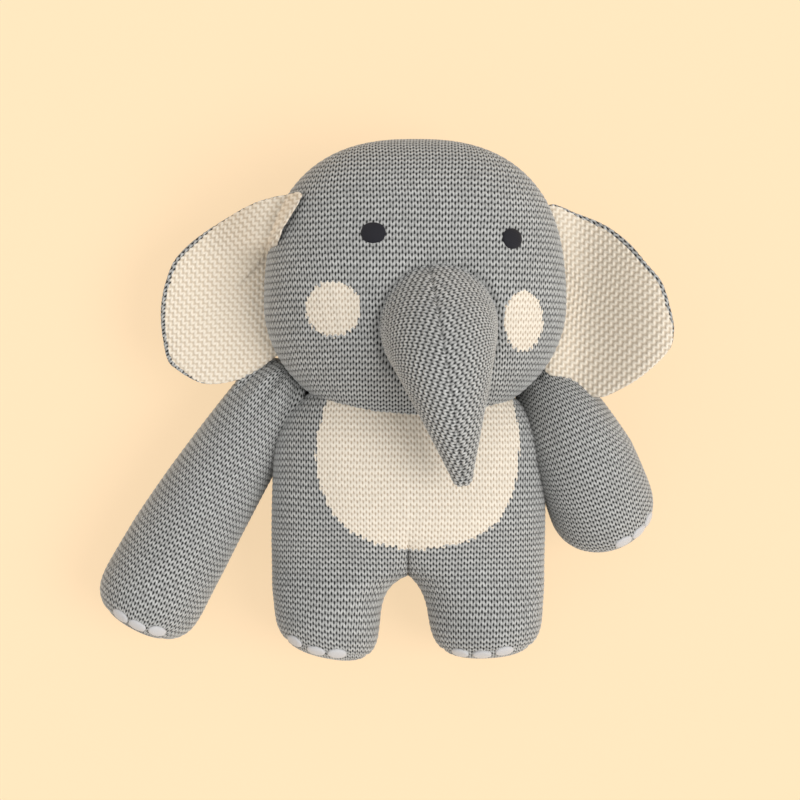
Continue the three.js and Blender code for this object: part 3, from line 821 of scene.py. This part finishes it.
def make_trunk():
    """Two mirrored panels whose rows slant down to the seam along the trunk's middle."""
    points, angle, scale, centre = tube(TRUNK_ROOT, TRUNK_BEND, TRUNK_TIP, TRUNK_RADII,
                                        root_cap=12.0, end_depth=7.5, end_power=2.0,
                                        cell=TRUNK_CELL)
    normals = facing(grid_normals(points, wrap=True), points - centre[:, None])
    down = arc_lengths(points, 0)[:, points.shape[1] // 2]
    across = angle[None] * scale[:, None]
    length = np.broadcast_to(down[:, None], across.shape)
    beside = np.abs(across)
    t = (length * math.cos(TRUNK_LEAN) - beside * math.sin(TRUNK_LEAN)) / ROW
    s = (beside * math.cos(TRUNK_LEAN) + length * math.sin(TRUNK_LEAN)) / STITCH
    seam = np.exp(-beside ** 2)
    points = points - normals * (TRUNK_SEAM_DENT * seam)[..., None]
    fade = (1.0 - 0.55 * seam) * np.clip(scale[:, None] / 5.0, 0.0, 1.0)
    shaped = knitted(points, normals, s, t, fade=fade, closed=TRUNK_CLOSED)
    shaped[:, -1] = shaped[:, 0]
    faces = quads(*points.shape[:2])[..., ::-1]
    half = points.shape[1] // 2
    for side, part in (("right", faces[:, :half]), ("left", faces[:, half:])):
        replaced = [f"trunk_{side}"] + (["trunk_stuffing"] if side == "left" else [])
        panel = build(f"trunk_{side}_knit", [(shaped, s, t, part)], TRUNK_KNIT, "trunk",
                      replaced)


# ---------------------------------------------------------------- ears

EAR_THICKNESS = 9.0
EAR_POINTS = 178        # points along each side of an ear's grid
EAR_LENGTH = 75.0       # across an ear, from its seam out
EAR_HALF_HEIGHT = 60.0
CORNER_RISE = 27.0      # how far an ear's lapped corner climbs the side of the head
CORNER_SLOPE = (-136.0, -92.0)      # and from where across the elephant to where
EAR_ROLL = 2.9          # width of the grey back that rolls over an ear's edge
EAR_ROLL_REACH = 1.45   # how far round the edge it does so, in radians to either side
# points round each ear's edge, across and up the elephant, starting from the top of its seam
EAR_OUTLINES = {
    "right": [(-69, 134), (-98, 131), (-131, 117), (-153, 100), (-162, 85), (-167, 60), (-163, 30),
              (-155, 20), (-137, 11), (-116, 13), (-104, 18), (-88, 30), (-78, 40), (-85, 62),
              (-88, 90), (-81, 111)],
    "left": [(94, 130), (114, 124), (131, 116), (145, 104), (156, 90), (166, 76), (172, 55),
             (173, 44), (170, 33), (157, 19), (145, 10), (129, 2), (118, 4), (106, 11), (92, 19),
             (90, 33), (95, 62), (96, 90), (92, 112)],
}
# where an ear is sewn on across the elephant, its height there, how far it rises and cups from
# there to its edge, the slant of its rows, the middle of its rolled edge, and the heights between
# which its upper corner comes to lap over the head
EAR_SHAPES = {
    "right": dict(hinge=-92.0, seam=54.0, rise=-2.0, cup=9.0, lean=-0.80, roll=3.1,
                  corner=(90.0, 108.0)),
    "left": dict(hinge=96.0, seam=60.0, rise=36.0, cup=12.0, lean=0.72, roll=0.75,
                 corner=None),
}


def closed_curve(points, count):
    """A smooth closed curve through some points, evenly spaced."""
    points = np.array(points, float)
    steps = len(points)
    place = np.linspace(0.0, steps, 1200, endpoint=False)
    first = np.floor(place).astype(int)
    share = (place - first)[:, None]
    a, b, c, d = (points[(first + k) % steps] for k in (-1, 0, 1, 2))
    cubic = 3.0 * (b - c) + d - a
    square = 2.0 * a - 5.0 * b + 4.0 * c - d
    curve = b + 0.5 * share * (c - a + share * (square + share * cubic))
    looped = np.concatenate([curve, curve[:1]])
    length = arc_lengths(looped[None], 1)[0]
    even = np.linspace(0.0, length[-1], count, endpoint=False)
    return np.stack([np.interp(even, length, looped[:, k]) for k in (0, 1)], axis=-1)


def ear_middle(spec, x, y, centre):
    """Height of the sheet halfway through an ear, over places in its plan."""
    out = (x - spec["hinge"]) / EAR_LENGTH * math.copysign(1.0, spec["hinge"])
    beside = (y - centre[1]) / EAR_HALF_HEIGHT
    middle = spec["seam"] + spec["rise"] * smoothstep(out, 0.15, 1.05)
    middle = middle + spec["cup"] * (0.6 * beside ** 2 + (np.clip(out, 0.0, 2.0) - 0.5) ** 2)
    if spec["corner"]:
        lap = smoothstep(y, *spec["corner"])
        middle = middle + CORNER_RISE * lap * smoothstep(x, *CORNER_SLOPE)
        resting = head_height(x, y) + EAR_THICKNESS / 2.0
        middle = middle + lap * np.maximum(resting - middle, 0.0)
    return middle


def make_ear(side):
    """A cream front and a grey back that rolls over the edge."""
    spec = EAR_SHAPES[side]
    outline = closed_curve(EAR_OUTLINES[side], 720)
    centre = outline.mean(axis=0)
    around = np.arctan2(outline[:, 1] - centre[1], outline[:, 0] - centre[0])
    order = np.argsort(around)
    reach = np.linalg.norm(outline - centre, axis=1)[order]
    x, y = disc_grid(EAR_POINTS)
    radius = np.minimum(np.hypot(x, y), 1.0)
    turn = np.arctan2(y, x)
    far = np.interp(turn, around[order], reach, period=2.0 * math.pi)
    place_x = centre[0] + np.cos(turn) * far * radius
    place_y = centre[1] + np.sin(turn) * far * radius
    middle = ear_middle(spec, place_x, place_y, centre)
    swell = np.maximum(1.0 - radius ** 5.0, 0.0) ** 0.5
    lean = spec["lean"]
    for layer, face, material, slot in (("front", 1.0, EAR_KNIT, "cream_knit"),
                                        ("back", -1.0, GREY_KNIT, "grey_knit")):
        is_front = layer == "front"
        height = middle + face * EAR_THICKNESS / 2.0 * swell
        points = np.stack([place_x, place_y, height], axis=-1)
        normals = facing(grid_normals(points), np.array([0.0, 0.0, face]))
        s = (place_x * math.cos(lean) + place_y * math.sin(lean)) / STITCH
        t = (-place_x * math.sin(lean) + place_y * math.cos(lean)) / ROW
        s, t = unevenness(points, s, t)
        rim = np.clip((1.0 - radius) * 25.0, 0.0, 1.0)
        shaped = knitted(points, normals, s, t, fade=0.4 + 0.6 * rim, depth=RELIEF * 0.9,
                         closed=EAR_CLOSED if is_front else CLOSED)
        faces = quads(EAR_POINTS, EAR_POINTS)
        away = np.abs(np.angle(np.exp(1j * (turn - spec["roll"]))))
        roll = EAR_ROLL * smoothstep(away, EAR_ROLL_REACH, 0.55 * EAR_ROLL_REACH)
        edge = (1.0 - radius) * far + 0.25 * np.sin(s * 2.0 * np.pi)
        rolled = (edge < roll)[:-1, :-1]
        panel = faces[~rolled] if is_front else faces[..., ::-1]
        replaced = [f"ear_{side}_{layer}"] + ([f"ear_{side}_wadding"] if is_front else [])
        piece = build(f"ear_{side}_{layer}_knit", [(shaped, s, t, panel)], material,
                      f"ear_{side}", replaced)
        if is_front:
            rim_piece = build(f"ear_{side}_rolled_edge", [(shaped, s, t, faces[rolled])],
                              GREY_KNIT, f"ear_{side}")


# ---------------------------------------------------------------- eyes and toenails

EYES = {"right": (-23.8, 105.4), "left": (67.7, 101.4)}
EYE_HALF = {"right": (8.4, 7.1), "left": (7.2, 6.9)}
EYE_RISE = 1.5
EYE_LIFT = 0.5          # how far an eye's pad is moved out from the face
EYE_POINTS = 34
EYE_CURVE = 38.0        # radius of the face under an eye
NAIL_HALF = (6.6, 5.2)
NAIL_RISE = 1.1
NAIL_POINTS = 30
# where each limb's toenails lie, across and up the elephant
NAILS = {
    "arm_right": ((-193.5, -145.0), (-182.0, -151.5), (-168.5, -155.5)),
    "arm_left": ((162.8, -81.0), (155.5, -89.0), (145.0, -95.5)),
    "leg_right": ((-76.5, -162.0), (-62.0, -168.0), (-47.4, -170.3)),
    "leg_left": ((35.0, -170.5), (49.5, -171.0), (65.0, -168.5)),
}


def make_eyes():
    """Each eye is a low domed pad of stitching that follows the face."""
    x, y = disc_grid(EYE_POINTS)
    radius = np.minimum(np.hypot(x, y), 1.0)
    for side in ("right", "left"):
        eye_x, eye_y = EYES[side]
        place = face_place(eye_x, eye_y)
        ahead = face_place(eye_x + 1.0, eye_y) - place
        rising = face_place(eye_x, eye_y + 1.0) - place
        normal = unit(np.cross(ahead, rising))
        across = unit(ahead - normal * np.dot(ahead, normal))
        up = np.cross(normal, across)
        half_x, half_y = EYE_HALF[side]
        dome = EYE_RISE * (1.0 - radius ** 4) ** 0.5
        curve = ((x * half_x) ** 2 + (y * half_y) ** 2) / (2.0 * EYE_CURVE)
        sink = np.where(radius >= 0.999, 1.2, 0.0)
        height = EYE_LIFT + dome - curve - sink
        points = (place + x[..., None] * half_x * across + y[..., None] * half_y * up
                  + height[..., None] * normal)
        pad = (points, x * 4.0, y * 4.0, quads(EYE_POINTS, EYE_POINTS))
        build(f"eye_{side}_stitching", [pad], EYE_THREAD, "head", [f"eye_{side}"])


def nail_pad(place, normal, axis, surface, normals):
    """The points of a toenail laid on a limb's cover, and its s and t."""
    near = np.linalg.norm(surface - place, axis=-1) < 2.0 * max(NAIL_HALF)
    near_points, near_normals = surface[near], normals[near]
    across = unit(np.cross(axis, normal))
    up = np.cross(normal, across)
    x, y = disc_grid(NAIL_POINTS)
    flat = place + x[..., None] * NAIL_HALF[0] * across + y[..., None] * NAIL_HALF[1] * up
    closest = np.argmin(np.linalg.norm(flat[:, :, None] - near_points, axis=-1), axis=-1)
    under, out = near_points[closest], near_normals[closest]
    flat = flat - out * np.sum((flat - under) * out, axis=-1, keepdims=True)
    radius = np.minimum(np.hypot(x, y), 1.0)
    dome = NAIL_RISE * np.sqrt(np.maximum(1.0 - radius ** 5, 0.0)) - 0.9 * (radius > 0.999)
    return flat + out * dome[..., None], x * 4.0, y * 4.0


def make_nails():
    """Each toenail is stitched over the rounded edge of its limb's sole."""
    for limb, places in NAILS.items():
        surface, normals = (part.reshape(-1, 3) for part in limb_surfaces[limb])
        sole_low, sole_high = node_box(f"{limb}_sole")
        axis = unit((sole_low + sole_high) / 2.0 - joint_place(LIMB_JOINTS[limb]))
        for number, plan in enumerate(places, start=1):
            node = f"{limb}_nail_{number}"
            off = np.linalg.norm(surface[:, :2] - np.array(plan), axis=-1)
            facing_down = normals[:, 2] < 0.2
            first = np.argmin(off + 100.0 * facing_down)
            pad = nail_pad(surface[first], normals[first], axis, surface, normals)
            build(f"{node}_stitching", [(*pad, quads(NAIL_POINTS, NAIL_POINTS))], NAIL_THREAD,
                  limb, [node])


# ---------------------------------------------------------------- stage

# places and the floor's size are in metres here
FLOOR_SIZE = 8.0
FLOOR_GLOW = 0.80
ROOM_LIGHT = 0.78
KEY_LIGHT = 1.6         # strength of the sun
KEY_ANGLE = 35.0        # how wide it looks, in degrees
KEY_PLACE = (0.9, -0.2, 1.1)
SOFT_WHITE = (1.0, 0.985, 0.96)
CAMERA_PLACE = (-0.0054, 0.0, 1.33)
CAMERA_LENS = 85.0
CAMERA_SENSOR = 36.0


def make_stage():
    """Glowing cream paper, an even room and one broad light."""
    bpy.ops.mesh.primitive_plane_add(size=FLOOR_SIZE, location=(0.0, 0.0, 0.0))
    floor = bpy.context.object
    floor.name = "floor"
    n = Nodes("cream_paper", roughness=0.9, sheen=0.0)
    n.shader.inputs["Base Color"].default_value = (0.24, 0.18, 0.12, 1.0)
    n.shader.inputs["Emission Color"].default_value = (1.0, 0.76, 0.49, 1.0)
    n.shader.inputs["Emission Strength"].default_value = FLOOR_GLOW
    floor.data.materials.append(n.material)

    world = bpy.data.worlds.new("soft_room")
    world.use_nodes = True
    background = world.node_tree.nodes["Background"]
    background.inputs["Color"].default_value = (*SOFT_WHITE, 1.0)
    background.inputs["Strength"].default_value = ROOM_LIGHT
    bpy.context.scene.world = world

    key = bpy.data.objects.new("key_light", bpy.data.lights.new("key_light", "SUN"))
    key.data.energy = KEY_LIGHT
    key.data.angle = math.radians(KEY_ANGLE)
    key.data.color = SOFT_WHITE
    key.location = KEY_PLACE
    aim = -Vector(KEY_PLACE)
    key.rotation_euler = aim.to_track_quat("-Z", "Y").to_euler()
    bpy.context.scene.collection.objects.link(key)


def make_camera():
    """A camera straight above, looking down."""
    camera = bpy.data.objects.new("camera", bpy.data.cameras.new("camera"))
    camera.data.lens = CAMERA_LENS
    camera.data.sensor_width = CAMERA_SENSOR
    camera.location = CAMERA_PLACE
    camera.rotation_euler = (0.0, 0.0, 0.0)
    bpy.context.scene.collection.objects.link(camera)
    bpy.context.scene.camera = camera
    bpy.context.scene.view_settings.view_transform = "Standard"


make_head()
make_eyes()
make_trunk()
for ear_side in ("right", "left"):
    make_ear(ear_side)
make_bag()
for arm_side in ("right", "left"):
    make_arm(arm_side)
make_nails()
make_stage()
make_camera()
